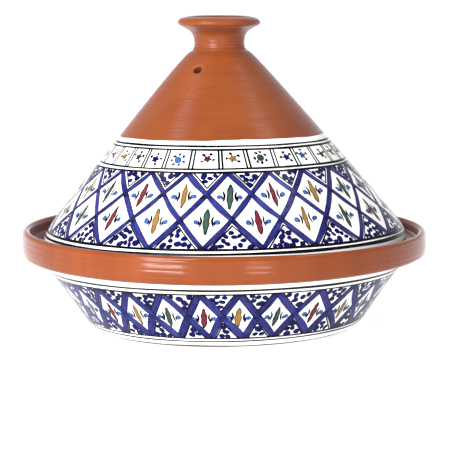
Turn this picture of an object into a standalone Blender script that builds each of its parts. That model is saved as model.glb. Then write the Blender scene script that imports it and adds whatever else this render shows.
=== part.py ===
"""Tagine pot: a glazed earthenware cooking dish with a tall conical lid.

Four turned pieces. The dish is a flared bowl on a turned foot, with a heavy terracotta collar
luted round its mouth. The lid is a thin-walled cone with a steam vent, and a cup-shaped knob
luted to its top. The lid rests on the flat mouth of the bowl, inside the collar, and lifts
straight up. The origin is the centre of the foot, and +Z points up along the pot's axis.
"""
import math

import bmesh
import bpy
from mathutils import Vector

MM = 0.001

# Driving dimensions
COLLAR_RADIUS = 150.0 * MM
MOUTH_HEIGHT = 64.0 * MM
POT_HEIGHT = 228.0 * MM
FOOT_RADIUS = 96.5 * MM
LID_RADIUS = 134.6 * MM
NECK_RADIUS = 18.6 * MM
LID_WALL = 7.0 * MM
VENT_DIAMETER = 6.5 * MM

# Joints between the pieces
GAP = 0.3 * MM
COLLAR_GAP = 0.4 * MM

# Dish
FLOOR_HEIGHT = 10.0 * MM
FOOT_WIDTH = 12.0 * MM
FOOT_RECESS = 2.5 * MM
COLLAR_BASE = 51.8 * MM
COLLAR_THICKNESS = 5.6 * MM
COLLAR_TOP = 72.0 * MM
COLLAR_CORNER = 3.2 * MM
COLLAR_BELLY = 0.4 * MM

# Lid
LID_BASE = MOUTH_HEIGHT + GAP
LID_EDGE_ROUNDING = 1.0 * MM
SHOULDER_HEIGHT = 203.2 * MM
SHOULDER_RADIUS = 19.9 * MM
VENT_HEIGHT = 189.8 * MM
VENT_AZIMUTH = math.radians(-118.0)
KNOB_BASE = SHOULDER_HEIGHT + GAP
KNOB_LIP_RADIUS = 30.5 * MM
CUP_FLOOR = 212.5 * MM

STEPS_ROUND = 60
CUTTER_SEGMENTS = 20


# Profiles: lists of (radius, height) points

def smooth(points, pieces=2):
    """Return a Catmull-Rom curve through the points, with some pieces between each pair."""
    ends = [points[0]] + list(points) + [points[-1]]
    curve = []
    for before, start, end, after in zip(ends, ends[1:], ends[2:], ends[3:]):
        for piece in range(pieces):
            t = piece / pieces
            curve.append(tuple(
                0.5 * (2.0 * p1 + (p2 - p0) * t + (2.0 * p0 - 5.0 * p1 + 4.0 * p2 - p3) * t ** 2
                       + (3.0 * p1 - p0 - 3.0 * p2 + p3) * t ** 3)
                for p0, p1, p2, p3 in zip(before, start, end, after)))
    curve.append(tuple(points[-1]))
    return curve


def arc(centre, radius, start, end, pieces):
    """Return points on an arc from one angle in degrees to another."""
    angles = [math.radians(start + (end - start) * i / pieces) for i in range(pieces + 1)]
    return [(centre[0] + radius * math.cos(a), centre[1] + radius * math.sin(a)) for a in angles]


def inset(points, depth):
    """Return the curve moved to the right of its direction of travel, which is into the clay."""
    moved = []
    for i, point in enumerate(points):
        before = Vector(points[max(i - 1, 0)])
        after = Vector(points[min(i + 1, len(points) - 1)])
        along = (after - before).normalized()
        moved.append((point[0] + along.y * depth, point[1] - along.x * depth))
    return moved


def wall_at(curve, height):
    """Return the radius of a falling curve at a height, and the rise of its normal per radius."""
    for (upper_radius, upper), (lower_radius, lower) in zip(curve, curve[1:]):
        if lower <= height <= upper:
            rise = (lower_radius - upper_radius) / (upper - lower)
            return upper_radius + rise * (upper - height), rise
    raise ValueError("the curve does not reach this height")


def scaled(points):
    """Turn points written in millimetres into metres."""
    return [(radius * MM, height * MM) for radius, height in points]


def bowl_wall():
    """Return the outer side of the bowl from its mouth down to the foot."""
    mouth = (COLLAR_RADIUS - COLLAR_BELLY - COLLAR_THICKNESS - COLLAR_GAP, MOUTH_HEIGHT)
    side = scaled([(137.6, 51.8), (130.9, 44.0), (121.6, 32.0), (113.3, 20.0), (105.1, 8.0),
                   (100.4, 1.9)])
    return smooth([mouth] + side + [(FOOT_RADIUS, 0.0)])


def bowl_outline():
    """Return the bowl from the middle of its floor, over the mouth and down to the foot."""
    inside = smooth([(0.0, FLOOR_HEIGHT)] + scaled([(72.0, 10.4), (92.0, 15.5), (104.0, 26.0),
                                                     (116.5, 43.0), (125.0, 57.0)])
                    + [(127.0 * MM, MOUTH_HEIGHT - 1.5 * MM)])[1:]
    mouth = [(128.4 * MM, MOUTH_HEIGHT)]
    foot = [(FOOT_RADIUS - FOOT_WIDTH, 0.0), (FOOT_RADIUS - FOOT_WIDTH - FOOT_RECESS, FOOT_RECESS),
            (0.0, FOOT_RECESS)]
    return [(0.0, FLOOR_HEIGHT)] + inside + mouth + bowl_wall() + foot


def collar_outline():
    """Return the closed section of the collar, which grips the flare of the bowl."""
    lip_radius = COLLAR_THICKNESS / 2.0
    side_radius = COLLAR_RADIUS - COLLAR_BELLY
    lip = arc((side_radius - lip_radius, COLLAR_TOP - lip_radius), lip_radius, 180, 0, 7)
    corner = arc((side_radius - COLLAR_CORNER, COLLAR_BASE + COLLAR_CORNER), COLLAR_CORNER,
                 0, -90, 3)
    middle = (COLLAR_RADIUS, (COLLAR_TOP + COLLAR_BASE) / 2.0)
    outside = lip + smooth([lip[-1], middle, corner[0]])[1:-1] + corner
    grip = [(radius + COLLAR_GAP, height) for radius, height in bowl_wall()
            if COLLAR_BASE - 0.1 * MM < height]
    return outside + grip[::-1]


def cone_wall():
    """Return the outer side of the lid from the knob's joint down to the lid's edge."""
    side = scaled([(24.6, 199.9), (38.4, 185.0), (64.2, 155.0), (89.3, 125.0), (114.3, 95.0),
                   (126.7, 80.0), (132.6, 71.5)])
    return smooth([(SHOULDER_RADIUS, SHOULDER_HEIGHT)] + side + [(LID_RADIUS, LID_BASE + 2.0 * MM)])


def cone_outline():
    """Return the lid's cone from the middle of its top, down the outside and up the inside."""
    outside = cone_wall()
    inside = [(radius, height) for radius, height in inset(outside, LID_WALL)
              if LID_BASE + 2.0 * MM < height]
    edge = [(LID_RADIUS - LID_EDGE_ROUNDING, LID_BASE),
            (LID_RADIUS - LID_WALL + LID_EDGE_ROUNDING, LID_BASE),
            (LID_RADIUS - LID_WALL, LID_BASE + LID_EDGE_ROUNDING)]
    top = (0.0, SHOULDER_HEIGHT)
    ceiling = (0.0, SHOULDER_HEIGHT - LID_WALL)
    return [top] + outside + edge + inside[::-1] + [ceiling]


def knob_outline():
    """Return the knob from the middle of its cup, over the lip and down to its joint."""
    cup = smooth([(0.0, CUP_FLOOR)] + scaled([(8.5, 213.3), (14.0, 216.2), (17.6, 220.4),
                                               (19.4, 225.0), (20.2, 227.2)]))
    lip = smooth([(21.6 * MM, POT_HEIGHT)] + scaled([(24.8, 227.5), (28.6, 226.3)])
                 + [(KNOB_LIP_RADIUS, 224.1 * MM)]
                 + scaled([(29.7, 221.8), (25.6, 219.6), (21.4, 216.9), (19.2, 213.4)])
                 + [(NECK_RADIUS, 209.0 * MM)])
    base = [(18.9 * MM, 205.5 * MM), (SHOULDER_RADIUS, KNOB_BASE), (0.0, KNOB_BASE)]
    return cup + lip + base


# Scene helpers

def clear_scene():
    """Remove every object, so that the script can be run again."""
    for obj in list(bpy.data.objects):
        bpy.data.objects.remove(obj, do_unlink=True)


def new_collection(name):
    """Return a new collection in the scene."""
    collection = bpy.data.collections.new(name)
    bpy.context.scene.collection.children.link(collection)
    return collection


def ceramic(name, colour, roughness):
    """Return a glazed clay material."""
    material = bpy.data.materials.new(name)
    material.use_nodes = True
    shader = material.node_tree.nodes["Principled BSDF"]
    shader.inputs["Base Color"].default_value = (*colour, 1.0)
    shader.inputs["Roughness"].default_value = roughness
    shader.inputs["Metallic"].default_value = 0.0
    return material


def turned(name, outline, material, collection, closed=False):
    """Turn an outline round the Z axis with a Screw modifier."""
    mesh = bpy.data.meshes.new(name)
    edges = [(i, i + 1) for i in range(len(outline) - 1)]
    if closed:
        edges.append((len(outline) - 1, 0))
    mesh.from_pydata([(radius, 0.0, height) for radius, height in outline], edges, [])
    mesh.materials.append(material)
    obj = bpy.data.objects.new(name, mesh)
    collection.objects.link(obj)
    screw = obj.modifiers.new("turn", "SCREW")
    screw.axis = "Z"
    screw.steps = STEPS_ROUND
    screw.render_steps = STEPS_ROUND
    screw.use_merge_vertices = True
    screw.merge_threshold = 0.00005
    screw.use_smooth_shade = True
    return obj


def drill_vent(cone, collection):
    """Cut the steam vent square through the wall of the lid, high on its front left."""
    radius, normal_slope = wall_at(cone_wall(), VENT_HEIGHT)
    across = Vector((math.cos(VENT_AZIMUTH), math.sin(VENT_AZIMUTH), 0.0))
    outward = across + Vector((0.0, 0.0, normal_slope))
    mesh = bpy.data.meshes.new("vent_cutter")
    shape = bmesh.new()
    bmesh.ops.create_cone(shape, cap_ends=True, segments=CUTTER_SEGMENTS,
                          radius1=VENT_DIAMETER / 2.0, radius2=VENT_DIAMETER / 2.0,
                          depth=3.0 * LID_WALL)
    shape.to_mesh(mesh)
    shape.free()
    cutter = bpy.data.objects.new("vent_cutter", mesh)
    cutter.location = across * radius + Vector((0.0, 0.0, VENT_HEIGHT))
    cutter.rotation_euler = outward.to_track_quat("Z", "Y").to_euler()
    cutter.hide_render = True
    cutter.display_type = "WIRE"
    collection.objects.link(cutter)
    cut = cone.modifiers.new("vent", "BOOLEAN")
    cut.operation = "DIFFERENCE"
    cut.solver = "EXACT"
    cut.object = cutter


def anchor(name, height, collection):
    """Return an empty on the pot's axis that carries one body."""
    empty = bpy.data.objects.new(name, None)
    empty.location = (0.0, 0.0, height)
    collection.objects.link(empty)
    return empty


def carry(empty, *pieces):
    """Parent pieces to an empty without moving them."""
    for piece in pieces:
        piece.parent = empty
        piece.location = -empty.location


def build():
    """Build the dish and its lid."""
    clear_scene()
    pot = new_collection("tagine_pot")
    cutters = new_collection("tagine_pot_cutters")

    white_glaze = ceramic("white_glaze", (0.84, 0.85, 0.83), 0.12)
    lid_glaze = ceramic("lid_glaze", (0.83, 0.84, 0.82), 0.12)
    collar_glaze = ceramic("collar_glaze", (0.50, 0.145, 0.058), 0.14)
    knob_glaze = ceramic("knob_glaze", (0.47, 0.13, 0.047), 0.16)

    bowl = turned("base_bowl", bowl_outline(), white_glaze, pot)
    collar = turned("rim_collar", collar_outline(), collar_glaze, pot, closed=True)
    cone = turned("lid_cone", cone_outline(), lid_glaze, pot)
    knob = turned("lid_knob", knob_outline(), knob_glaze, pot)
    drill_vent(cone, cutters)

    carry(anchor("dish", 0.0, pot), bowl, collar)
    carry(anchor("lid", LID_BASE, pot), cone, knob)


build()
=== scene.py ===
"""Tagine pot: the visual model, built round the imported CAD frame.

Each turned piece of clay is a fine mesh of revolution with the slight unevenness of hand
throwing. The white glaze is a thin shell over the clay, and the painted decoration is laid on it
as brushwork: every stroke, line, spot and leaf is its own thin closed shape that follows the
wall. Sizes are written in millimetres and angles in degrees. An angle of 0 faces the camera, and
angles grow to the right as the camera sees them.
"""
import math
import random

import bpy
import numpy as np
from mathutils import Matrix, Vector


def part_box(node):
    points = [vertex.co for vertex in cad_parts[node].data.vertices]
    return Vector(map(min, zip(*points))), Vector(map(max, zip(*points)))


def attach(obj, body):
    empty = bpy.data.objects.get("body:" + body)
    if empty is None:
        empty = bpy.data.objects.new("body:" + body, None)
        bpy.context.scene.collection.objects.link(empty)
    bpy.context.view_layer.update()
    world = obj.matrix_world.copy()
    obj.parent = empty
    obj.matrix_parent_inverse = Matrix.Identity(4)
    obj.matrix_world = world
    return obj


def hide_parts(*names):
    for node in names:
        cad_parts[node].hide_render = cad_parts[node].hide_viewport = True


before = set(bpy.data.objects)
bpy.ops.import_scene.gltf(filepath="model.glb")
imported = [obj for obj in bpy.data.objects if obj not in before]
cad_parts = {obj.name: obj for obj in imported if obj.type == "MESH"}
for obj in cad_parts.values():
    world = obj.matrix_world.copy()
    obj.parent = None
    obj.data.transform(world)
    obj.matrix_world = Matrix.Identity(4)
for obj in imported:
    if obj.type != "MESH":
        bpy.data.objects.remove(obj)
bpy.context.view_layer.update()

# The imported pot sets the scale: every size below is for a collar 150 mm in radius.
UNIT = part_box("rim_collar")[1].x / 150.0


def radius_of(node):
    """Return the outer radius of a CAD node in millimetres."""
    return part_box(node)[1].x / UNIT


def bottom_of(node):
    """Return the lowest height of a CAD node in millimetres."""
    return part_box(node)[0].z / UNIT


def top_of(node):
    """Return the highest height of a CAD node in millimetres."""
    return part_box(node)[1].z / UNIT


# Sizes read from the frame
MOUTH_HEIGHT = top_of("base_bowl")
COLLAR_RADIUS = radius_of("rim_collar")
COLLAR_BASE = bottom_of("rim_collar")
COLLAR_TOP = top_of("rim_collar")
LID_RADIUS = radius_of("lid_cone")
LID_BASE = bottom_of("lid_cone")
SHOULDER_HEIGHT = top_of("lid_cone")
KNOB_RADIUS = radius_of("lid_knob")
POT_HEIGHT = top_of("lid_knob")

# Sizes of the clay
LID_WALL = 7.0
COLLAR_THICKNESS = 5.6
COLLAR_BELLY = 0.4
COLLAR_GRIP = COLLAR_RADIUS - COLLAR_BELLY - COLLAR_THICKNESS
VENT_RADIUS = 3.25
VENT_ANGLE = -28.0
VENT_HEIGHT = 189.8
FOOT_RADIUS = 96.5
FOOT_WIDTH = 12.0
FOOT_RECESS = 2.5
FLOOR_HEIGHT = 10.0

# Heights of the bands of decoration
LID_GLAZE_TOP = 141.6
LID_THIN_LINES = (137.8, 135.6, 123.2, 120.8)
LID_BOLD_LINES = (72.6, 69.6)
STAR_BAND = (135.6, 123.2)
LID_LATTICE = (120.8, 107.0, 90.8, 72.8)
DISH_GLAZE = (53.5, 1.3)
DISH_THIN_LINES = (41.7, 7.4, 5.2)
DISH_BOLD_LINE = 45.0
DISH_LATTICE = (41.7, 24.4, 7.4)

# Coats: heights above the clay's surface, and how deep the back of a coat sinks below its front
GLAZE_LIFT = 0.12
LEVELS = {"spots": 0.04, "rising": 0.05, "falling": 0.09, "marks": 0.07, "lines": 0.13}
COAT_SKIN = 0.06
GLAZE_SINK = 0.25

ROUNDS = 288
ANGLES = np.arange(ROUNDS) * 360.0 / ROUNDS
dice = random.Random(11)


# Curves

def smooth(points, step):
    """Return a Catmull-Rom curve through (radius, height) points, with a point every step or so."""
    ends = np.array([points[0]] + list(points) + [points[-1]], float)
    t = np.linspace(0.0, 1.0, 16, endpoint=False)[:, None]
    spans = []
    for p0, p1, p2, p3 in zip(ends, ends[1:], ends[2:], ends[3:]):
        spans.append(0.5 * (2.0 * p1 + (p2 - p0) * t
                            + (2.0 * p0 - 5.0 * p1 + 4.0 * p2 - p3) * t ** 2
                            + (3.0 * p1 - p0 - 3.0 * p2 + p3) * t ** 3))
    curve = np.vstack(spans + [ends[-1:]])
    return evenly(curve, step)


def evenly(curve, step):
    """Return the curve with its points spaced evenly, about a step apart."""
    length = np.concatenate([[0.0], np.cumsum(np.linalg.norm(np.diff(curve, axis=0), axis=1))])
    count = max(int(round(length[-1] / step)), 1)
    marks = np.linspace(0.0, length[-1], count + 1)
    return np.column_stack([np.interp(marks, length, curve[:, k]) for k in range(2)])


def arc(centre, radius, start, end, pieces):
    """Return points on an arc from one angle to another."""
    angles = np.radians(np.linspace(start, end, pieces + 1))
    return np.column_stack([centre[0] + radius * np.cos(angles),
                            centre[1] + radius * np.sin(angles)])


def around(angle, radius, height, aside):
    """Return points at an angle, radius and height round an axis that stands aside, to the right."""
    turn = np.radians(angle - 90.0)
    return np.stack(np.broadcast_arrays(radius * np.cos(turn) + aside, radius * np.sin(turn),
                                        height), axis=-1)


def waves(turn, *terms):
    """Return the sum of waves round the pot, each given as its (size, count, phase)."""
    return sum(size * np.sin(count * turn + phase) for size, count, phase in terms)


def thrown(angle, height, rings):
    """Return how far a hand-thrown wall stands out of true at an angle and height."""
    turn = np.radians(angle)
    uneven_turn = waves(turn, (0.16, 1.0, 0.8), (0.12, 2.0, height / 55.0),
                        (0.05, 3.0, height / 17.0 + 2.0))
    spiral = waves(turn, (1.0, 1.0, height * 1.02), (0.7, 1.0, height * 1.71 + 1.9))
    return uneven_turn + rings * spiral


def upright(height):
    """Return the sideways lean of a wall that stands straight."""
    return 0.0 * height


def lid_lean(height):
    """Return how far the lid leans to the right at a height: it was thrown a little crooked."""
    return 0.7 - 2.3 * np.clip((height - LID_BASE) / 126.0, 0.0, 1.0)


class Wall:
    """The outer side of a turned piece: its radius at each height, with the thrown unevenness."""

    def __init__(self, curve, rings, lean):
        rising = curve[np.argsort(curve[:, 1])]
        self.heights = rising[:, 1]
        self.radii = rising[:, 0]
        self.slopes = np.gradient(self.radii, self.heights)
        self.rings = rings
        self.lean = lean

    def radius(self, height):
        """Return the radius at a height."""
        return np.interp(height, self.heights, self.radii)

    def stretch(self, height):
        """Return the length of wall for each millimetre of height."""
        return np.hypot(1.0, np.interp(height, self.heights, self.slopes))

    def place(self, angle, height, lift=0.0):
        """Return points at some lift above the wall, in millimetres."""
        angle, height, lift = np.broadcast_arrays(np.asarray(angle, float), height, lift)
        slope = np.interp(height, self.heights, self.slopes)
        size = np.hypot(1.0, slope)
        radius = self.radius(height) + thrown(angle, height, self.rings) + lift / size
        return around(angle, radius, height - lift * slope / size, self.lean(height))

    def normal(self, angle, height):
        """Return the wall's outward direction, with the unevenness in it."""
        nudge = 0.2
        across = self.place(angle + nudge, height) - self.place(angle - nudge, height)
        upward = self.place(angle, height + nudge) - self.place(angle, height - nudge)
        direction = np.cross(across, upward)
        return direction / np.linalg.norm(direction, axis=-1, keepdims=True)

    def local(self, angle, height):
        """Return a function that turns millimetres right and down of a spot into (angle, height)."""
        down = 1.0 / self.stretch(height)

        def to_wall(right, below):
            new_height = height - np.asarray(below, float) * down
            return angle + np.degrees(np.asarray(right, float) / self.radius(new_height)), new_height

        return to_wall


# Materials

CLAY_SHINE = 0.25
BARE_SHINE = 0.5
GLAZE_SHINE = 0.14
PAINT_SHINE = 0.06
CLAY_HAZE = 0.30
PAINT_HAZE = 0.16


def srgb(red, green, blue):
    """Return a colour given as 0 to 255 in linear light, with full alpha."""
    linear = [(v / 255.0 / 12.92 if v <= 10 else ((v / 255.0 + 0.055) / 1.055) ** 2.4)
              for v in (red, green, blue)]
    return (*linear, 1.0)


def put(tree, kind, inputs=(), **settings):
    """Add a shader node, set its options, and set or link its inputs."""
    made = tree.nodes.new(kind)
    for key, value in settings.items():
        setattr(made, key, value)
    for key, value in dict(inputs).items():
        if isinstance(value, bpy.types.NodeSocket):
            tree.links.new(value, made.inputs[key])
        else:
            made.inputs[key].default_value = value
    return made


def new_material(name):
    """Return a new material, its node tree, its main shader and the place on the object."""
    material = bpy.data.materials.new(name)
    material.use_nodes = True
    tree = material.node_tree
    return material, tree, tree.nodes["Principled BSDF"], put(
        tree, "ShaderNodeTexCoord").outputs["Object"]


def noise(tree, place, scale, detail=3.0, stretch=(1.0, 1.0, 1.0)):
    """Return the value of a noise at some scale, stretched along the axes."""
    mapped = put(tree, "ShaderNodeMapping", {"Vector": place, "Scale": stretch})
    return put(tree, "ShaderNodeTexNoise", {"Vector": mapped.outputs[0], "Scale": scale,
                                            "Detail": detail}).outputs[0]


def ramp(tree, value, low, high, start=0.0, end=1.0):
    """Return a value moved from the range start to end into the range low to high."""
    return put(tree, "ShaderNodeMapRange", {"Value": value, "From Min": start, "From Max": end,
                                            "To Min": low, "To Max": high}).outputs[0]


def total(tree, *parts):
    """Return the sum of (value, weight) parts."""
    answer = 0.0
    for value, weight in parts:
        answer = put(tree, "ShaderNodeMath", {0: value, 1: weight, 2: answer},
                     operation="MULTIPLY_ADD").outputs[0]
    return answer


def blended(tree, factor, first, second):
    """Return a colour between two others."""
    return put(tree, "ShaderNodeMix", {0: factor, 6: first, 7: second}, data_type="RGBA").outputs[2]


def surfaced(tree, shader, colour, roughness, shine, haze=0.0):
    """Give the shader its colour, roughness and shine, and a pale haze where it is seen edge on."""
    tree.links.new(colour, shader.inputs["Base Color"])
    tree.links.new(roughness, shader.inputs["Roughness"])
    shader.inputs["Specular IOR Level"].default_value = shine
    shader.inputs["Sheen Weight"].default_value = haze
    shader.inputs["Sheen Roughness"].default_value = 0.3
    shader.inputs["Sheen Tint"].default_value = (0.86, 0.86, 1.0, 1.0)


def bumped(tree, shader, height, depth, strength=1.0):
    """Give the shader a relief of some depth in metres."""
    bump = put(tree, "ShaderNodeBump", {"Height": height, "Distance": depth, "Strength": strength})
    tree.links.new(bump.outputs[0], shader.inputs["Normal"])


def terracotta(name, light, dark, roughness, ring_depth):
    """Return clear-glazed terracotta with fine turning rings, cloudy tone and rare iron specks."""
    material, tree, shader, place = new_material(name)
    clouds = noise(tree, place, 20.0, 3.0)
    runs = noise(tree, place, 1.0, 2.0, (60.0, 60.0, 7.0))
    bands = noise(tree, place, 1.0, 3.0, (5.0, 5.0, 330.0))
    rings = noise(tree, place, 1.0, 2.0, (9.0, 9.0, 1000.0))
    grain = noise(tree, place, 1000.0, 2.0)
    tone = total(tree, (clouds, 0.42), (runs, 0.40), (bands, 0.18))
    colour = blended(tree, ramp(tree, tone, 0.0, 1.0, 0.36, 0.64), dark, light)
    speck = ramp(tree, noise(tree, place, 560.0, 1.0), 0.0, 0.4, 0.77, 0.82)
    colour = blended(tree, speck, colour, srgb(70, 32, 20))
    gloss = total(tree, (clouds, 1.0), (rings, 1.0))
    rough = ramp(tree, gloss, roughness * 0.8, roughness * 1.25, 0.7, 1.3)
    surfaced(tree, shader, colour, rough, CLAY_SHINE, CLAY_HAZE)
    bumped(tree, shader, total(tree, (rings, 0.6), (bands, 0.7), (grain, 0.08)), ring_depth)
    return material


def white_glaze():
    """Return tin-white glaze: pooled unevenly, faintly cool where it is thin, with rare specks."""
    material, tree, shader, place = new_material("white_tin_glaze")
    pooling = noise(tree, place, 34.0, 3.0)
    ripple = noise(tree, place, 240.0, 2.0)
    colour = blended(tree, ramp(tree, pooling, 0.0, 1.0, 0.3, 0.7), srgb(240, 240, 236),
                     srgb(247, 249, 250))
    speck = ramp(tree, noise(tree, place, 310.0, 1.0), 0.0, 0.6, 0.77, 0.80)
    colour = blended(tree, speck, colour, srgb(172, 140, 118))
    surfaced(tree, shader, colour, ramp(tree, ripple, 0.07, 0.16, 0.3, 0.7), GLAZE_SHINE)
    bumped(tree, shader, total(tree, (pooling, 1.0), (ripple, 0.12)), 0.00025, 0.8)
    return material


def bare_clay_with_foot_shadow():
    """Return unglazed fired clay, matt, grainy and cloudy with darker grains, darkened as painted
    shadow.
    """
    material, tree, shader, place = new_material("bare_clay_with_foot_shadow")
    clouds = noise(tree, place, 40.0, 4.0)
    grain = noise(tree, place, 1100.0, 3.0)
    # These colours are far darker than fired clay's own: painted shadow where the foot meets the
    # floor.
    colour = blended(tree, ramp(tree, clouds, 0.0, 1.0, 0.3, 0.7), srgb(66, 44, 38),
                     srgb(88, 58, 48))
    colour = blended(tree, ramp(tree, grain, 0.0, 0.5, 0.55, 0.75), colour, srgb(50, 33, 28))
    surfaced(tree, shader, colour, ramp(tree, grain, 0.75, 0.95, 0.3, 0.7), BARE_SHINE)
    bumped(tree, shader, grain, 0.0003)
    return material


def glaze_paint(name, thin, full, heavy):
    """Return painted colour under the glaze: pale where the brush was dry, dark where it pooled."""
    material, tree, shader, place = new_material(name)
    load = put(tree, "ShaderNodeAttribute", attribute_name="load").outputs["Fac"]
    brush = put(tree, "ShaderNodeAttribute", attribute_name="brush").outputs["Vector"]
    streaks = noise(tree, brush, 1.0, 2.0, (1.9, 0.10, 1.0))
    mottle = noise(tree, place, 420.0, 2.0)
    amount = total(tree, (load, 1.0), (ramp(tree, streaks, -0.38, 0.38, 0.28, 0.72), 1.0),
                   (ramp(tree, mottle, -0.14, 0.14, 0.3, 0.7), 1.0))
    colour = blended(tree, ramp(tree, amount, 0.0, 1.0, 0.0, 0.5), thin, full)
    colour = blended(tree, ramp(tree, amount, 0.0, 1.0, 0.5, 1.0), colour, heavy)
    surfaced(tree, shader, colour, ramp(tree, mottle, 0.09, 0.18, 0.3, 0.7), PAINT_SHINE,
             PAINT_HAZE)
    return material


# Each paint where it is thin, where it is full and where it pools
PAINT_COLOURS = {
    "cobalt": ((56, 58, 124), (33, 34, 91), (11, 13, 46)),
    "spot_blue": ((28, 27, 96), (13, 11, 74), (8, 7, 42)),
    "black": ((30, 29, 40), (12, 11, 20), (7, 7, 12)),
    "red": ((112, 48, 56), (88, 26, 36), (32, 10, 16)),
    "ochre": ((146, 114, 56), (126, 92, 38), (44, 30, 18)),
    "green": ((60, 82, 72), (38, 55, 48), (14, 21, 21)),
    "light_blue": ((70, 106, 164), (44, 74, 136), (20, 29, 86)),
}
MATERIALS = {
    "lid_terracotta": terracotta("lid_terracotta", srgb(132, 65, 27), srgb(117, 55, 21),
                                 0.30, 0.00014),
    "collar_terracotta": terracotta("collar_terracotta", srgb(134, 65, 28), srgb(120, 55, 22),
                                    0.13, 0.00020),
    # The inner terracotta is darker than the outer: painted shade for the hollows inside the dish,
    # the collar's mouth and the knob's cup.
    "shaded_inner_terracotta": terracotta("shaded_inner_terracotta", srgb(132, 64, 47), srgb(104, 47, 36),
                                   0.24, 0.00018),
    "bare_clay_with_foot_shadow": bare_clay_with_foot_shadow(),
    "white_glaze": white_glaze(),
}
for paint_name, tones in PAINT_COLOURS.items():
    MATERIALS[paint_name] = glaze_paint(f"{paint_name}_paint", *(srgb(*tone) for tone in tones))


# Pieces

def new_object(name, points, faces, materials):
    """Make a smoothly shaded mesh object from points in metres."""
    mesh = bpy.data.meshes.new(name)
    mesh.from_pydata([tuple(point) for point in points], [], faces)
    for material in materials:
        mesh.materials.append(material)
    mesh.polygons.foreach_set("use_smooth", [True] * len(mesh.polygons))
    made = bpy.data.objects.new(name, mesh)
    bpy.context.scene.collection.objects.link(made)
    return made


def add_piece(name, points, faces, materials, body, face_slots=None):
    """Make a piece from points in millimetres and let it ride on a body."""
    piece = new_object(name, np.asarray(points) * UNIT, faces,
                       [MATERIALS[material] for material in materials])
    if face_slots is not None:
        piece.data.polygons.foreach_set("material_index", face_slots)
    piece.data.update()
    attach(piece, body)
    return piece


def joined(upper, lower):
    """Return the faces between two closed loops of point numbers."""
    count = len(upper)
    return [(upper[k], lower[k], lower[(k + 1) % count], upper[(k + 1) % count])
            for k in range(count)]


def ring_faces(rows, columns, wrap):
    """Return the faces of a grid of rings. The last ring joins the first if the grid wraps."""
    loops = [range(row * columns, (row + 1) * columns) for row in range(rows)]
    below = loops[1:] + (loops[:1] if wrap else [])
    return [face for upper, lower in zip(loops, below) for face in joined(upper, lower)]


def turned_points(section, out_of_true, lean):
    """Return the points of a section turned through ROUNDS angles, row by row."""
    radius = section[:, 0][:, None]
    height = section[:, 1][:, None]
    d_radius, d_height = out_of_true(ANGLES[None, :], radius, height)
    radius = np.where(radius > 0.0, radius + d_radius, 0.0)
    return around(ANGLES[None, :], radius, height + d_height, lean(height))


def turned(name, section, materials, body, out_of_true, closed=False, slot_at=None,
           lean=upright):
    """Make a piece of revolution. An open section starts and ends on the axis."""
    grid = turned_points(section, out_of_true, lean)
    rows = len(section)
    points = []
    loops = []
    for row in range(rows):
        start = len(points)
        pole = not closed and row in (0, rows - 1)
        loops.append([start] * ROUNDS if pole else range(start, start + ROUNDS))
        points.extend(grid[row, :1] if pole else grid[row])
    faces = []
    face_slots = []
    below = loops[1:] + (loops[:1] if closed else [])
    for row, (upper, lower) in enumerate(zip(loops, below)):
        # A point on the axis is there twice in its faces, and is kept once.
        faces.extend(tuple(dict.fromkeys(face)) for face in joined(upper, lower))
        face_slots.extend([slot_at(row) if slot_at else 0] * ROUNDS)
    return add_piece(name, points, faces, materials, body, face_slots)


# Walls and sections, as (radius, height) in millimetres

LID_CURVE = smooth([(19.9, SHOULDER_HEIGHT), (24.6, 199.9), (38.4, 185.0), (64.2, 155.0),
                    (89.3, 125.0), (114.3, 95.0), (126.7, 80.0), (132.6, 71.5),
                    (LID_RADIUS, LID_BASE + 2.0), (LID_RADIUS - 0.3, LID_BASE + 0.7),
                    (LID_RADIUS - 1.0, LID_BASE)], 1.6)
DISH_CURVE = smooth([(COLLAR_GRIP - 0.4, MOUTH_HEIGHT), (137.6, 51.8), (130.9, 44.0),
                     (121.6, 32.0), (113.3, 20.0), (105.1, 8.0), (100.4, 1.9),
                     (FOOT_RADIUS + 0.3, 0.0)], 1.6)
LID_SIDE = Wall(LID_CURVE, 0.03, lid_lean)
DISH_SIDE = Wall(DISH_CURVE, 0.03, upright)


def wall_offset(rings):
    """Return the unevenness of a turned piece, which fades out towards the axis."""
    def out_of_true(angle, radius, height):
        return thrown(angle, height, rings) * np.clip(radius / 30.0, 0.0, 1.0), 0.0 * angle
    return out_of_true


def vent_rings(loop_angles, loop_heights):
    """Return the rows of points that take a loop on the outside through the vent to the inside."""
    right = np.radians(loop_angles - VENT_ANGLE) * LID_SIDE.radius(loop_heights)
    below = (VENT_HEIGHT - loop_heights) * LID_SIDE.stretch(VENT_HEIGHT)
    bearing = np.arctan2(below, right)
    # How far each row stands outside the vent's radius, and its share of the way through the wall
    rim = ((1.5, 0.0), (0.7, 0.004), (0.25, 0.02), (0.03, 0.06), (0.0, 0.14), (0.0, 0.5),
           (0.0, 0.86), (0.1, 0.95), (0.5, 0.99), (1.4, 1.0))
    rows = []
    for spread, depth in rim:
        reach = VENT_RADIUS + spread
        angle, height = LID_SIDE.local(VENT_ANGLE, VENT_HEIGHT)(
            reach * np.cos(bearing), reach * np.sin(bearing))
        outer = LID_SIDE.place(angle, height)
        inner = lid_inside(angle, height)
        rows.append(outer + (inner - outer) * depth)
    return rows


def lid_inside(angle, height):
    """Return points on the inside of the lid's wall, across from points on its outside."""
    slope = np.interp(height, LID_SIDE.heights, LID_SIDE.slopes)
    size = np.hypot(1.0, slope)
    near_edge = np.clip((height - LID_BASE - 1.5) / 14.0, 0.0, 1.0)
    sink = LID_WALL * (-slope / size) * (0.12 + 0.88 * near_edge)
    radius = LID_SIDE.radius(height) - LID_WALL / size
    lifted = np.maximum(height - sink, LID_BASE + 1.0 + 0.02 * (height - LID_BASE))
    return around(angle, radius, lifted, lid_lean(height))


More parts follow.
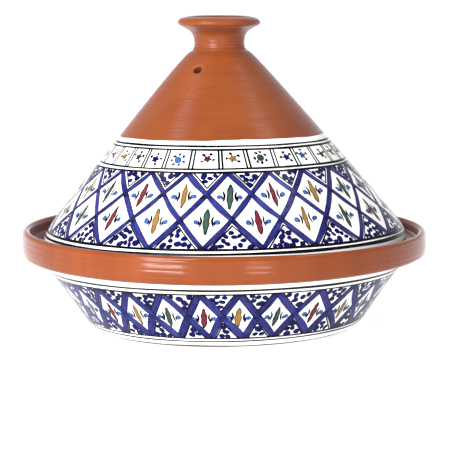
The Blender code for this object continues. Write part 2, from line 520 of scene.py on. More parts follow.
def add_lid_clay():
    """Make the terracotta cone of the lid, with the steam vent through its wall."""
    heights = LID_CURVE[:, 1]
    angles = VENT_ANGLE + ANGLES
    all_angles, all_heights = np.meshgrid(angles, heights)
    outer = LID_SIDE.place(all_angles, all_heights)
    inner = lid_inside(all_angles, all_heights)
    rows = len(heights)
    points = np.vstack([outer.reshape(-1, 3), inner.reshape(-1, 3)])

    # A block of faces round the vent is left out of both sides.
    middle = int(np.argmin(np.abs(heights - VENT_HEIGHT)))
    half_rows = 4
    half_columns = 8
    block_rows = range(middle - half_rows, middle + half_rows)
    block_columns = {k % ROUNDS for k in range(-half_columns, half_columns)}

    def outer_at(row, k):
        return row * ROUNDS + k % ROUNDS

    def inner_at(row, k):
        return rows * ROUNDS + outer_at(row, k)

    faces = []
    for row in range(rows - 1):
        for k in range(ROUNDS):
            if row in block_rows and k in block_columns:
                continue
            faces.append((outer_at(row, k), outer_at(row + 1, k), outer_at(row + 1, k + 1),
                          outer_at(row, k + 1)))
            faces.append((inner_at(row, k), inner_at(row, k + 1), inner_at(row + 1, k + 1),
                          inner_at(row + 1, k)))

    extra = []

    def add_points(new_points):
        """Take in new points and return their numbers."""
        start = len(points) + len(extra)
        extra.extend(new_points)
        return range(start, start + len(new_points))

    # The edge at the bottom and the discs at the top close the clay.
    edge = [[outer_at(rows - 1, k) for k in range(ROUNDS)]]
    for radius in (LID_RADIUS - 2.0, LID_RADIUS - LID_WALL + 1.0):
        edge.append(add_points(around(angles, radius, LID_BASE, lid_lean(LID_BASE))))
    edge.append([inner_at(rows - 1, k) for k in range(ROUNDS)])
    peak, ceiling = add_points([(lid_lean(SHOULDER_HEIGHT), 0.0, height)
                                for height in (SHOULDER_HEIGHT, SHOULDER_HEIGHT - LID_WALL)])
    for k in range(ROUNDS):
        faces.append((peak, outer_at(0, k), outer_at(0, k + 1)))
        faces.append((ceiling, inner_at(0, k + 1), inner_at(0, k)))

    # The vent joins the two loops that the missing blocks leave.
    top, bottom = middle - half_rows, middle + half_rows
    loop = ([(top, k) for k in range(-half_columns, half_columns)]
            + [(row, half_columns) for row in range(top, bottom)]
            + [(bottom, k) for k in range(half_columns, -half_columns, -1)]
            + [(row, -half_columns) for row in range(bottom, top, -1)])
    loop_angles = np.array([VENT_ANGLE + k * 360.0 / ROUNDS for _, k in loop])
    loop_heights = np.array([heights[row] for row, _ in loop])
    vent = [[outer_at(row, k) for row, k in loop]]
    for row_points in vent_rings(loop_angles, loop_heights):
        vent.append(add_points(row_points))
    vent.append([inner_at(row, k) for row, k in loop])
    for strips in (edge, vent):
        for upper, lower in zip(strips, strips[1:]):
            faces.extend(joined(upper, lower))

    points = np.vstack([points, np.array(extra)])
    piece = add_piece("lid_clay", points, faces, ["lid_terracotta"], "lid")
    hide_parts("lid_cone")
    return piece


def add_glaze(name, wall, top, bottom, body, slot, wavy_top, wavy_bottom):
    """Make a thin shell of white glaze between two heights, rounded off at its edges."""
    turn = np.radians(ANGLES)
    waver = waves(turn, (0.22, 2.0, 1.0), (0.16, 5.0, 0.4), (0.12, 11.0, 0.0), (0.06, 23.0, 2.0))
    top_edge = top + waver * wavy_top
    bottom_edge = bottom + waver[::-1] * wavy_bottom
    count = int(round((top - bottom) / 1.3))
    lip = np.array([0.0, 0.15, 0.4, 0.8])
    shares = np.concatenate([lip / (top - bottom), np.linspace(0.02, 0.98, count),
                             1.0 - lip[::-1] / (top - bottom)])
    lifts = np.concatenate([[-0.05, 0.06, 0.10, GLAZE_LIFT], np.full(count, GLAZE_LIFT),
                            [GLAZE_LIFT, 0.10, 0.06, -0.05]])
    shares = np.concatenate([shares, shares[::-1]])
    lifts = np.concatenate([lifts, np.full(len(lifts), -GLAZE_SINK)])
    heights = top_edge[None, :] + (bottom_edge - top_edge)[None, :] * shares[:, None]
    points = wall.place(ANGLES[None, :], heights, lifts[:, None]).reshape(-1, 3)
    faces = ring_faces(len(shares), ROUNDS, wrap=True)
    return add_piece(name, points, faces, ["white_glaze"], body)


def add_dish_clay():
    """Make the clay of the dish: floor, inside, mouth, outside and turned foot ring."""
    inside = smooth([(0.0, FLOOR_HEIGHT), (72.0, 10.4), (92.0, 15.5), (104.0, 26.0),
                     (116.5, 43.0), (125.0, 57.0), (127.0, MOUTH_HEIGHT - 1.5)], 2.2)
    mouth = np.array([(127.5, MOUTH_HEIGHT - 0.5), (128.4, MOUTH_HEIGHT)]
                     + [(radius, MOUTH_HEIGHT) for radius in (131.0, 134.6, 138.0)])
    foot = smooth([(FOOT_RADIUS - 0.6, 0.0), (FOOT_RADIUS - FOOT_WIDTH, 0.0),
                   (FOOT_RADIUS - FOOT_WIDTH - 1.4, 0.7),
                   (FOOT_RADIUS - FOOT_WIDTH - FOOT_RECESS, FOOT_RECESS), (60.0, FOOT_RECESS),
                   (0.0, FOOT_RECESS)], 2.2)
    section = np.vstack([inside, mouth, DISH_CURVE, foot])
    # The foot's bare band takes the darkened clay: painted shadow where the dish meets the floor.
    bare_from = len(inside) + len(mouth) + int(np.argmax(DISH_CURVE[:, 1] < 2.2))
    # All other clay of the dish, inside and mouth included, takes the darker inner terracotta:
    # painted shade.
    piece = turned("dish_clay", section, ["shaded_inner_terracotta", "bare_clay_with_foot_shadow"], "base",
                   wall_offset(0.03), slot_at=lambda row: int(row >= bare_from))
    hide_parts("base_bowl")
    return piece


def add_collar():
    """Make the heavy collar, its lip softened by the fingers that shaped it."""
    lip_radius = COLLAR_THICKNESS / 2.0
    side = COLLAR_RADIUS - COLLAR_BELLY
    lip = arc((side - lip_radius, COLLAR_TOP - lip_radius), lip_radius, 180, 0, 16)
    corner = arc((side - 3.2, COLLAR_BASE + 3.2), 3.2, 0, -90, 8)
    middle = (COLLAR_RADIUS, COLLAR_BASE + (COLLAR_TOP - COLLAR_BASE) * 0.38)
    outside = smooth([lip[-1], middle, corner[0]], 0.9)[1:-1]
    grip = DISH_CURVE[(DISH_CURVE[:, 1] > COLLAR_BASE - 0.2) & (DISH_CURVE[:, 1] < MOUTH_HEIGHT)]
    grip = grip - (0.5, 0.0)
    inner = np.array([(side - COLLAR_THICKNESS, height)
                      for height in np.linspace(MOUTH_HEIGHT - 0.5, lip[0][1], 6)])[:-1]
    section = np.vstack([lip, outside, corner, grip[::-1], inner])

    def out_of_true(angle, radius, height):
        turn = np.radians(angle)
        swell = waves(turn, (0.14, 2.0, 0.5), (0.10, 5.0, height / 9.0))
        groove = waves(turn, (0.05, 2.0, height * 1.5), (0.04, 3.0, height * 2.6 + 1.0))
        top_sway = 0.3 - 1.9 * np.cos(turn) + waves(turn, (-2.0, 1.0, 0.0), (0.14, 3.0, 0.0),
                                                    (0.05, 9.0, 0.0))
        foot_sway = 0.07 - 0.97 * np.cos(2.0 * turn) - 0.75 * np.sin(turn)
        raised = np.clip((height - COLLAR_BASE) / (COLLAR_TOP - COLLAR_BASE), 0.0, 1.0)
        # The bowl holds the inner side of the foot, so only the outer side sways.
        free = np.clip((radius - 139.0) / 7.0, 0.0, 1.0)
        return swell + groove, top_sway * raised + foot_sway * (1.0 - raised) * free

    # The collar's inner side and the inner turn of its lip take the darker terracotta: painted shade
    # inside the mouth.
    inner_from = len(section) - len(inner) - 1
    inner_lip = 5
    piece = turned("collar", section, ["collar_terracotta", "shaded_inner_terracotta"], "base",
                   out_of_true, closed=True,
                   slot_at=lambda row: int(row >= inner_from or row < inner_lip))
    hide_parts("rim_collar")
    return piece


def add_knob():
    """Make the cup-shaped knob, with tool rings round its neck and a fillet of slip below."""
    cup = smooth([(0.0, 212.5), (8.5, 213.3), (14.0, 216.2), (17.6, 220.4), (19.4, 225.0),
                  (20.2, 227.2)], 0.9)
    outside = smooth([(20.8, POT_HEIGHT - 0.2), (21.6, POT_HEIGHT), (24.8, 227.5), (28.6, 226.3),
                      (KNOB_RADIUS, 224.1), (29.7, 221.8), (25.6, 219.6), (21.4, 216.9),
                      (19.2, 213.4), (18.6, 209.0), (18.8, 205.8), (19.7, 203.9),
                      (20.2, 203.0)], 0.6)
    base = np.array([(12.0, 202.9), (0.0, 202.9)])
    section = np.vstack([cup, outside, base])

    def out_of_true(angle, radius, height):
        turn = np.radians(angle)
        on_neck = np.exp(-((height - 208.0) / 3.4) ** 2) * (radius > 15.0)
        rings = 0.16 * on_neck * np.sin(height * 2.5 + turn)
        swell = waves(turn, (0.10, 2.0, 1.2), (0.06, 3.0, height / 4.0))
        tip = (-1.1 * np.cos(turn) - 0.42 * np.sin(turn)) * radius / KNOB_RADIUS
        raised = np.clip((height - 212.0) / 12.0, 0.0, 1.0)
        return (swell + rings) * np.clip(radius / 15.0, 0.0, 1.0), tip * raised

    # The knob's cup takes the darker terracotta: painted shade in its hollow.
    piece = turned("knob", section, ["lid_terracotta", "shaded_inner_terracotta"], "lid",
                   out_of_true, slot_at=lambda row: int(row < len(cup)), lean=lid_lean)
    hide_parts("lid_knob")
    return piece


# Brushwork

class Paint:
    """Brushwork of one colour on one wall, gathered into one mesh."""

    def __init__(self, wall):
        self.wall = wall
        self.angles = []
        self.heights = []
        self.lifts = []
        self.loads = []
        self.brushes = []
        self.faces = []
        self.count = 0

    def add(self, angle, height, lift, load, brush, faces):
        """Take in one closed shape."""
        for store, values in ((self.angles, angle), (self.heights, height), (self.lifts, lift),
                              (self.loads, load)):
            store.append(np.asarray(values, float).ravel())
        self.brushes.append(np.asarray(brush, float).reshape(-1, 3))
        self.faces.extend(tuple(self.count + k for k in face) for face in faces)
        self.count += len(self.angles[-1])

    def make(self, name, material, body, slot):
        """Make the piece, shaded as smooth as the glaze that covers it."""
        angle = np.concatenate(self.angles)
        height = np.concatenate(self.heights)
        lift = np.concatenate(self.lifts) + GLAZE_LIFT
        points = self.wall.place(angle, height, lift)
        piece = add_piece(name, points, self.faces, [material], body)
        mesh = piece.data
        load = mesh.attributes.new("load", "FLOAT", "POINT")
        load.data.foreach_set("value", np.concatenate(self.loads))
        brush = mesh.attributes.new("brush", "FLOAT_VECTOR", "POINT")
        brush.data.foreach_set("vector", np.vstack(self.brushes).ravel())
        normals = self.wall.normal(angle, height)
        mesh.normals_split_custom_set_from_vertices([tuple(normal) for normal in normals])
        return piece


def stroke(paint, path, half_width, level, load=0.3, edge=0.35, rim=0.55, closed=False):
    """Lay a brush stroke along a path of (angle, height) points.

    half_width and load may change along the path. The edge of the stroke holds more paint, in a
    strip as wide as the rim.
    """
    wall = paint.wall
    angle, height = np.asarray(path, float).T
    half_width = np.broadcast_to(np.asarray(half_width, float), angle.shape)
    load = np.broadcast_to(np.asarray(load, float), angle.shape)
    radius = wall.radius(height)
    stretch = wall.stretch(height)
    if closed:
        d_right = np.radians((np.roll(angle, -1) - np.roll(angle, 1) + 180.0) % 360.0 - 180.0)
        d_down = np.roll(height, 1) - np.roll(height, -1)
    else:
        d_right = np.radians(np.gradient(angle))
        d_down = -np.gradient(height)
    d_right = d_right * radius
    d_down = d_down * stretch
    size = np.hypot(d_right, d_down)
    side_right = -d_down / size
    side_down = d_right / size
    wide = float(half_width.max()) > 0.9
    if wide:
        core = np.clip(1.0 - rim / np.maximum(half_width, 0.3), 0.3, 0.85)
        across = np.stack([-1.0 + 0.0 * core, -1.0 + 0.0 * core, -core, 0.0 * core, core,
                           1.0 + 0.0 * core, 1.0 + 0.0 * core], axis=1)
        lifts = np.array([-COAT_SKIN - level, 0.0, 0.012, 0.016, 0.012, 0.0, -COAT_SKIN - level])
        extra = np.array([1.0, 1.0, 0.15, 0.0, 0.15, 1.0, 1.0]) * edge
    else:
        across = np.broadcast_to(np.array([-1.0, -1.0, 1.0, 1.0]), (len(angle), 4))
        lifts = np.array([-COAT_SKIN - level, 0.0, 0.0, -COAT_SKIN - level])
        extra = np.zeros(4)
    offset = across * half_width[:, None]
    new_height = height[:, None] - offset * (side_down / stretch)[:, None]
    new_angle = angle[:, None] + np.degrees(offset * side_right[:, None] / radius[:, None])
    along = np.concatenate([[0.0], np.cumsum(size[1:])])
    brush = np.stack([offset, np.broadcast_to(along[:, None], offset.shape),
                      np.full(offset.shape, dice.uniform(0.0, 90.0))], axis=-1)
    rows, columns = offset.shape
    faces = []
    for row in range(rows if closed else rows - 1):
        below = (row + 1) % rows
        for k in range(columns):
            beside = (k + 1) % columns
            faces.append((row * columns + k, row * columns + beside, below * columns + beside,
                          below * columns + k))
    if not closed:
        faces.append(tuple(range(columns))[::-1])
        faces.append(tuple((rows - 1) * columns + k for k in range(columns)))
    paint.add(new_angle, new_height, np.broadcast_to(lifts + level, offset.shape),
              load[:, None] + extra[None, :], brush, faces)


def spot(paint, to_wall, right, below, size, level, load=0.4, edge=0.3, points=14):
    """Lay a spot of paint. size gives its outline as distances from its centre."""
    bearing = np.arange(points) * 2.0 * math.pi / points
    size = np.broadcast_to(np.asarray(size, float), bearing.shape)
    rights = [np.array([right])]
    belows = [np.array([below])]
    lifts = [np.array([0.016 + level])]
    loads = [np.array([load])]
    for share, lift, extra in ((0.6, 0.014 + level, 0.1), (1.0, level, edge),
                               (1.0, -COAT_SKIN, edge)):
        rights.append(right + size * share * np.cos(bearing))
        belows.append(below + size * share * np.sin(bearing))
        lifts.append(np.full(points, lift))
        loads.append(np.full(points, load + extra))
    rights = np.concatenate(rights)
    belows = np.concatenate(belows)
    angle, height = to_wall(rights, belows)
    faces = []
    for k in range(points):
        beside = (k + 1) % points
        faces.append((0, 1 + beside, 1 + k))
        for ring in (0, 1):
            inner, outer = 1 + ring * points, 1 + (ring + 1) * points
            faces.append((inner + k, inner + beside, outer + beside, outer + k))
    faces.append(tuple(1 + 2 * points + k for k in range(points)))
    brush = np.column_stack([rights, belows, np.full(len(rights), dice.uniform(0.0, 90.0))])
    paint.add(angle, height, np.concatenate(lifts), np.concatenate(loads), brush, faces)


def uneven(size, stretch, roughness, points=14):
    """Return the outline of an irregular oval, as distances from its centre."""
    bearing = np.arange(points) * 2.0 * math.pi / points
    lean = dice.uniform(0.0, math.pi)
    oval = 1.0 / np.hypot(np.cos(bearing - lean) / stretch, np.sin(bearing - lean) * stretch)
    wave = sum(dice.uniform(-roughness, roughness) * np.cos(k * bearing + dice.uniform(0.0, 6.28))
               for k in (2, 3, 4))
    return size * oval * (1.0 + wave)


def on_wall(to_wall, path):
    """Return a path of (right, below) points as one of (angle, height) points."""
    return np.column_stack(to_wall(path[:, 0], path[:, 1]))


def round_line(paint, height, width, load=0.5, swell=0.0):
    """Draw a line right round the pot, as a brush held to a turning wheel leaves it.

    A swell makes the line heavier on the right than on the left.
    """
    turn = np.radians(ANGLES)
    phases = [dice.uniform(0.0, 6.28) for _ in range(6)]
    sway = waves(turn, (0.16, 1.0, phases[0]), (0.10, 3.0, phases[1]), (0.05, 11.0, phases[2]))
    press = 1.0 + waves(turn, (0.14, 2.0, phases[3]), (0.10, 9.0, phases[4]))
    press *= 1.0 + swell * np.sin(turn + 0.2)
    wet = load + 0.14 * np.sin(4.0 * turn + phases[5])
    stroke(paint, np.column_stack([ANGLES, height + sway]), press * width / 2.0, LEVELS["lines"],
           wet, closed=True)


class Lattice:
    """A band of diamonds: crossing brush strokes round the pot between two heights."""

    def __init__(self, wall, count, phase, heights, drift):
        self.wall = wall
        self.count = count
        self.phase = phase
        self.heights = heights
        self.rows = len(heights) - 1
        self.drift = drift
        self.half_cell = 180.0 / count
        self.nudges = {}

    def node(self, row, half):
        """Return the (angle, height) where strokes meet, a little off true."""
        key = (row, half % (2 * self.count))
        if key not in self.nudges:
            loose = 0.0 if row in (0, self.rows) else 0.5
            self.nudges[key] = (dice.uniform(-0.35, 0.35), dice.uniform(-loose, loose))
        d_angle, d_height = self.nudges[key]
        angle = self.phase + half * self.half_cell
        return angle + self.drift(angle, row) + d_angle, self.heights[row] + d_height

    def strokes(self, paint, lean, half_width, level, load):
        """Paint every stroke of one family, which leans right (1) or left (-1) on its way down."""
        for k in range(self.count):
            nodes = [self.node(row, 2 * k + lean * row) for row in range(self.rows + 1)]
            path = self.path(nodes)
            share = np.linspace(0.0, self.rows, len(path))
            bulge = np.sin(math.pi * (share % 1.0)) ** 2
            ends = np.clip(np.minimum(share, self.rows - share) / 0.05, 0.6, 1.0)
            waver = 1.0 + 0.08 * np.sin(share * 5.1 + dice.uniform(0.0, 6.28))
            width = half_width * dice.uniform(0.92, 1.08) * (0.92 + 0.14 * bulge) * waver * ends
            crossing = np.exp(-(np.minimum(share % 1.0, 1.0 - share % 1.0) / 0.11) ** 2)
            fade = dice.uniform(-0.06, 0.06) + 0.10 * np.sin(share * 2.0 + dice.uniform(0.0, 6.28))
            stroke(paint, path, width, level, load + fade + 0.45 * crossing, edge=0.6)

    def path(self, nodes):
        """Return a brush path through the nodes, bowed slightly between them."""
        radius = self.wall.radius((self.heights[0] + self.heights[-1]) / 2.0)
        scale = math.radians(radius)
        points = [(angle * scale, height) for angle, height in nodes]
        bowed = [points[0]]
        for start, end in zip(points, points[1:]):
            bow = dice.uniform(-0.5, 0.5)
            bowed.append(((start[0] + end[0]) / 2.0 + bow, (start[1] + end[1]) / 2.0 + bow * 0.4))
            bowed.append(end)
        path = smooth(bowed, 0.8)
        return path / (scale, 1.0)

    def diamonds(self):
        """Return the (row, half) of the middle of each whole diamond."""
        return [(row, 2 * k + (row + 1) % 2)
                for row in range(1, self.rows) for k in range(self.count)]

    def triangles(self):
        """Return the corners (left, apex, right) of each triangle along the top and bottom."""
        found = []
        for k in range(self.count):
            for row, inside in ((0, 1), (self.rows, self.rows - 1)):
                left = 2 * k + row
                found.append((self.node(row, left), self.node(inside, left + 1),
                              self.node(row, left + 2)))
        return found


def flat(wall, origin, corner):
    """Return a point on the wall as millimetres right and down of an origin."""
    right = math.radians(corner[0] - origin[0]) * float(wall.radius(corner[1]))
    below = (origin[1] - corner[1]) * float(wall.stretch(origin[1]))
    return np.array([right, below])


def inset_triangle(corners, side_gap, base_gap):
    """Return the triangle (left, apex, right) moved in from its sides and its base."""
    left, apex, right = corners
    middle = (left + apex + right) / 3.0
    lines = []
    for start, end, gap in ((left, apex, side_gap), (apex, right, side_gap),
                            (right, left, base_gap)):
        along = (end - start) / np.linalg.norm(end - start)
        inward = np.array([-along[1], along[0]])
        if np.dot(middle - start, inward) < 0.0:
            inward = -inward
        lines.append((start + inward * gap, along))
    corners_in = []
    for (p, d), (q, e) in ((lines[2], lines[0]), (lines[0], lines[1]), (lines[1], lines[2])):
        t = np.linalg.solve(np.column_stack([d, -e]), q - p)[0]
        corners_in.append(p + d * t)
    return corners_in


def fill_triangle(corners, spots, size):
    """Return spot centres and sizes scattered in a triangle, not too close to each other."""
    left, apex, right = corners
    placed = []
    for _ in range(600):
        a, b = dice.random(), dice.random()
        if a + b > 1.0:
            a, b = 1.0 - a, 1.0 - b
        point = left + (apex - left) * a + (right - left) * b
        radius = size * dice.uniform(0.72, 1.12)
        if all(np.linalg.norm(point - other) > (radius + reach) * 0.88 for other, reach in placed):
            placed.append((point, radius))
        if len(placed) == spots:
            break
    return placed


def paint_triangles(lattice, black, blue, stroke_gap, spots, size):
    """Outline each edge triangle in black and fill it with blue spots."""
    wall = lattice.wall
    for corners in lattice.triangles():
        origin = corners[1]
        flat_corners = [flat(wall, origin, corner) for corner in corners]
        to_wall = wall.local(*origin)
        left, apex, right = inset_triangle(flat_corners, stroke_gap, 0.2)
        for start, end in ((left, apex), (right, apex)):
            bend = (start + end) / 2.0 + np.array([dice.uniform(-0.3, 0.3), dice.uniform(-0.3, 0.3)])
            overshoot = end + (end - start) * 0.02
            path = on_wall(to_wall, smooth([start, bend, overshoot], 1.2))
            width = dice.uniform(0.48, 0.66)
            stroke(black, path, width, LEVELS["marks"], dice.uniform(0.35, 0.6))
        room = inset_triangle(flat_corners, stroke_gap + 1.6, size * 0.65)
        if (room[2] - room[0])[0] * (right - left)[0] <= 0.0:
            continue
        for point, radius in fill_triangle(room, dice.choice(spots), size):
            spot(blue, to_wall, point[0], point[1], uneven(radius, dice.uniform(1.0, 1.2), 0.07),
                 LEVELS["spots"], dice.uniform(0.25, 0.6))


def curved_mark(paint, to_wall, points, width, load, level=LEVELS["marks"]):
    """Draw a short mark through points right and below of a spot, thinning at its ends."""
    path = on_wall(to_wall, smooth(points, 0.5))
    share = np.linspace(0.0, 1.0, len(path))
    press = 0.3 + 0.7 * np.sin(math.pi * share) ** 0.6
    stroke(paint, path, press * width / 2.0, level, load, edge=0.25)


def leaf(paint, to_wall, length, width, tilt):
    """Paint a long leaf, blunt at both ends and darker at its edge."""
    bow = dice.uniform(-0.35, 0.35)
    points = [(-tilt, -length / 2.0), (bow - tilt * 0.3, -length / 6.0),
              (bow + tilt * 0.3, length / 6.0), (tilt, length / 2.0)]
    path = on_wall(to_wall, smooth(points, 0.5))
    share = np.linspace(0.0, 1.0, len(path))
    press = 0.16 + 0.84 * np.sin(math.pi * share ** dice.uniform(0.85, 1.15)) ** 0.62
    press *= 1.0 + 0.10 * np.sin(share * 17.0 + dice.uniform(0.0, 6.28))
    load = 0.14 + 0.6 * np.abs(2.0 * share - 1.0) ** 4
    stroke(paint, path, press * width / 2.0, LEVELS["marks"], load, edge=1.0, rim=1.0)


def motif(paints, colour, wall, centre, length, reach):
    """Paint a leaf with ink ticks and a blue drop on each side of it."""
    to_wall = wall.local(centre[0] + dice.uniform(-0.4, 0.4), centre[1] + dice.uniform(-0.5, 0.5))
    width = dice.uniform(3.6, 4.9)
    leaf(paints[colour], to_wall, length * dice.uniform(0.94, 1.05), width,
         dice.uniform(-1.1, 0.7))
    for side in (-1.0, 1.0):
        shift = dice.uniform(-0.5, 0.5)
        inner = 1.3 + width / 2.0
        near = [(side * (inner + 0.9), -4.6 + shift), (side * inner, -0.9 + shift),
                (side * (inner + 1.0), 4.0 + shift)]
        curved_mark(paints["black"], to_wall, near, dice.uniform(1.3, 1.75), 0.8)
        drop_right = side * (reach + 0.2) + dice.uniform(-0.3, 0.3)
        drop_below = 0.1 + shift
        spot(paints["light_blue"], to_wall, drop_right, drop_below,
             uneven(dice.uniform(1.85, 2.2), 1.12, 0.05), LEVELS["marks"], 0.25, 0.5)
        tail = [(drop_right - side * 1.5, drop_below - 1.1),
                (drop_right - side * 1.9, drop_below + 0.8),
                (drop_right - side * 1.3, drop_below + 2.8)]
        ink = "black" if dice.random() < 0.4 else "spot_blue"
        curved_mark(paints[ink], to_wall, tail, dice.uniform(1.0, 1.3), 0.6, LEVELS["marks"] + 0.01)


def paint_lattice(lattice, paints, widths, gap, spots, spot_size, colours, length, reach, drop):
    """Paint a whole band: strokes, triangles and motifs, which sit a drop below the crossings."""
    lattice.strokes(paints["cobalt"], -1, widths[0], LEVELS["rising"], 0.42)
    lattice.strokes(paints["cobalt"], 1, widths[1], LEVELS["falling"], 0.28)
    paint_triangles(lattice, paints["black"], paints["spot_blue"], gap, spots, spot_size)
    for row, half in lattice.diamonds():
        left = lattice.node(row, half - 1)
        right = lattice.node(row, half + 1)
        centre = ((left[0] + right[0]) / 2.0, lattice.heights[row] - drop)
        colour = colours[row - 1][(half // 2) % 3]
        motif(paints, colour, lattice.wall, centre, length, reach)


def star(paints, colour, to_wall, kind):
    """Paint a star with dots off its points, or a disc with a ring of dots."""
    turn = dice.uniform(0.0, 6.28)
    tips = 5 if kind == "star" else 7
    points = 20
    bearing = np.arange(points) * 2.0 * math.pi / points
    if kind == "star":
        size = 2.6 + 0.7 * np.cos(tips * bearing + turn)
        spot(paints[colour], to_wall, 0.0, 0.0, size * dice.uniform(0.95, 1.1), LEVELS["marks"],
             0.5, 0.2, points)
        dots = "black"
        reach = 4.4
    else:
        spot(paints[colour], to_wall, 0.0, 0.0, uneven(2.8, 1.05, 0.03, points), LEVELS["marks"],
             0.3, 0.3, points)
        dots = "spot_blue" if colour == "light_blue" else "black"
        reach = 4.5
    for k in range(tips):
        if kind == "star" and k == 2:
            continue
        heading = (2.0 * math.pi * k - turn) / tips + dice.uniform(-0.12, 0.12)
        distance = reach * dice.uniform(0.92, 1.06)
        ink = dots if dice.random() < 0.8 else "black"
        spot(paints[ink], to_wall, distance * math.cos(heading), distance * math.sin(heading),
             uneven(dice.uniform(1.05, 1.35), 1.2, 0.05, 8), LEVELS["marks"], 0.8, 0.1, 8)


# The stars from left to right, and how many degrees each stands off even spacing
STAR_SEQUENCE = (("red", "star"), ("ochre", "star"), ("green", "star"), ("spot_blue", "star"),
                 ("light_blue", "disc"), ("red", "star"), ("ochre", "star"), ("green", "disc"),
                 ("spot_blue", "star"), ("light_blue", "star"), ("green", "star"),
                 ("ochre", "star"))
STAR_COUNT = 30
FIRST_STAR = -66.2
STAR_SLIPS = (0.0, 0.1, -1.4, -2.7, -2.7, -0.7, -0.9, 0.2, 1.6, -0.7, 1.5, 0.4)


def paint_star_band(paints):
    """Paint the narrow band of framed stars, unevenly spaced, near the top of the lid's glaze."""
    top, bottom = STAR_BAND
    run = len(STAR_SEQUENCE)
    centres = [FIRST_STAR + 360.0 / STAR_COUNT * k + STAR_SLIPS[k % run]
               for k in range(STAR_COUNT)]
    for k, centre in enumerate(centres):
        to_wall = LID_SIDE.local(centre, (top + bottom) / 2.0 + dice.uniform(-0.5, 0.5))
        colour, kind = STAR_SEQUENCE[k % run]
        star(paints, colour, to_wall, kind)
        after = centres[k + 1] if k + 1 < STAR_COUNT else centres[0] + 360.0
        border = (centre + after) / 2.0 + dice.uniform(-0.3, 0.3)
        slant = dice.uniform(-0.4, 0.4)
        spacing = dice.uniform(0.74, 0.90)
        for side in (-spacing, spacing):
            path = [(border + side - slant, top), (border + side, (top + bottom) / 2.0),
                    (border + side + slant, bottom)]
            heights = np.linspace(top, bottom, 14)
            angles = np.interp(-heights, [-p[1] for p in path], [p[0] for p in path])
            stroke(paints["black"], np.column_stack([angles, heights]), dice.uniform(0.60, 0.78),
                   LEVELS["marks"], dice.uniform(0.5, 0.8))


def steady(angle, row):
    """Return no drift: the crossings of the lid are evenly spaced."""
    return 0.0


def dish_drift(angle, row):
    """Return how far the dish's crossings slip round, as a hand that spaces them by eye does."""
    on = (angle - 14.0) % 360.0
    rise = min(on / 32.0, 1.0)
    fall = min(max((on - 50.0) / 290.0, 0.0), 1.0)
    slip = 4.5 * (rise * rise * (3.0 - 2.0 * rise) - fall * fall * (3.0 - 2.0 * fall))
    return slip + (-1.0, -0.1, 1.5)[row] * (1.0 - 0.7 * rise + 0.7 * fall)


def decorate_lid():
    """Paint the lid's white band."""
    paints = {colour: Paint(LID_SIDE) for colour in PAINT_COLOURS}
    for height in LID_THIN_LINES:
        round_line(paints["black"], height, 1.65, 0.7)
    for height in LID_BOLD_LINES:
        round_line(paints["black"], height, 2.0, 0.8, 0.15)
    lattice = Lattice(LID_SIDE, 21, 2.2, LID_LATTICE, steady)
    colours = (("green", "red", "ochre"), ("red", "ochre", "green"))
    paint_lattice(lattice, paints, (2.0, 2.1), 3.1, (11, 12, 13), 2.45, colours, 20.5, 6.9, 1.2)
    paint_star_band(paints)
    for colour, paint in paints.items():
        paint.make(f"lid_{colour}", colour, "lid", "lid_glaze")


def decorate_dish():
    """Paint the dish below the collar."""
    paints = {colour: Paint(DISH_SIDE) for colour in PAINT_COLOURS}
    round_line(paints["black"], DISH_BOLD_LINE, 2.1, 0.8)
    for height in DISH_THIN_LINES:
        round_line(paints["black"], height, 1.35, 0.7)
    lattice = Lattice(DISH_SIDE, 30, -6.9, DISH_LATTICE, dish_drift)
    colours = (("red", "ochre", "green"),)
    paint_lattice(lattice, paints, (2.7, 2.6), 2.9, (15, 16, 17), 2.6, colours, 19.0, 6.5, 0.8)
    for colour, paint in paints.items():
        paint.make(f"dish_{colour}", colour, "base", "white_glaze")


# Studio

def add_floor():
    """Lay a plain pale floor that curves up far away, so that no horizon shows."""
    material, tree, shader, place = new_material("studio_floor")
    colour = blended(tree, noise(tree, place, 3.0, 2.0), srgb(186, 186, 186), srgb(192, 192, 192))
    tree.links.new(colour, shader.inputs["Base Color"])
    shader.inputs["Roughness"].default_value = 0.8
    shader.inputs["Emission Color"].default_value = (1.0, 1.0, 1.0, 1.0)
    shader.inputs["Emission Strength"].default_value = 0.8
    profile = np.array([(0.0, 0.0), (0.3, 0.0), (1.0, 0.0), (3.0, 0.0), (4.0, 0.05), (4.8, 0.3),
                        (5.2, 0.9)])
    rounds = 96
    angles = np.arange(rounds) * 360.0 / rounds
    points = around(angles, profile[:, :1], profile[:, 1:], 0.0).reshape(-1, 3)
    floor = new_object("floor", points, ring_faces(len(profile), rounds, wrap=False), [material])


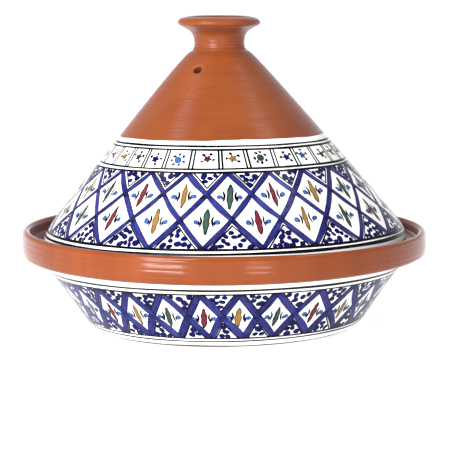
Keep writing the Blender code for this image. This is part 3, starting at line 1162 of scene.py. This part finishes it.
def add_softbox(name, location, target, width, height, power):
    """Hang a soft rectangular light that faces a target."""
    light = bpy.data.lights.new(name, "AREA")
    light.shape = "RECTANGLE"
    light.size = width
    light.size_y = height
    light.energy = power
    lamp = bpy.data.objects.new(name, light)
    lamp.location = location
    direction = lamp.location - Vector(target)
    lamp.rotation_euler = direction.to_track_quat("Z", "Y").to_euler()
    bpy.context.scene.collection.objects.link(lamp)


def add_studio():
    """Light the pot with a white room, a softbox and two windows in front, and lights above."""
    world = bpy.data.worlds.new("white_room")
    bpy.context.scene.world = world
    world.use_nodes = True
    background = world.node_tree.nodes["Background"]
    background.inputs["Color"].default_value = (1.0, 1.0, 1.0, 1.0)
    background.inputs["Strength"].default_value = 0.5
    middle = (0.0, 0.0, 0.1)
    add_softbox("key_light", (-0.95, -1.5, 1.15), middle, 1.0, 1.0, 52.0)
    add_softbox("window", (-0.88, -1.42, 0.13), middle, 0.60, 0.22, 13.0)
    add_softbox("small_window", (0.50, -1.58, 0.08), middle, 0.34, 0.16, 2.0)
    add_softbox("left_strip", (-1.0, -0.12, 1.8), middle, 0.30, 0.30, 2.4)
    add_softbox("right_strip", (1.0, -0.12, 1.8), middle, 0.32, 0.32, 3.2)


def add_camera():
    """Stand the camera in front of the pot, a little above it, looking slightly down."""
    camera = bpy.data.cameras.new("camera")
    camera.sensor_width = 36.0
    camera.lens = 129.4
    camera.clip_start = 0.05
    stand = bpy.data.objects.new("camera", camera)
    pitch = Matrix.Rotation(math.radians(90.0 - 7.088), 4, "X")
    roll = Matrix.Rotation(math.radians(-0.795), 4, "Z")
    stand.matrix_world = Matrix.Translation((0.00073, -1.2, 0.22265)) @ pitch @ roll
    bpy.context.scene.collection.objects.link(stand)
    bpy.context.scene.camera = stand


add_lid_clay()
add_glaze("lid_white_glaze", LID_SIDE, LID_GLAZE_TOP, LID_BASE + 0.3, "lid", "lid_glaze", 1.0, 0.2)
add_knob()
add_dish_clay()
add_glaze("dish_white_glaze", DISH_SIDE, *DISH_GLAZE, "base", "white_glaze", 0.0, 1.0)
add_collar()
decorate_lid()
decorate_dish()
add_floor()
add_studio()
add_camera()
bpy.context.scene.view_settings.view_transform = "Standard"
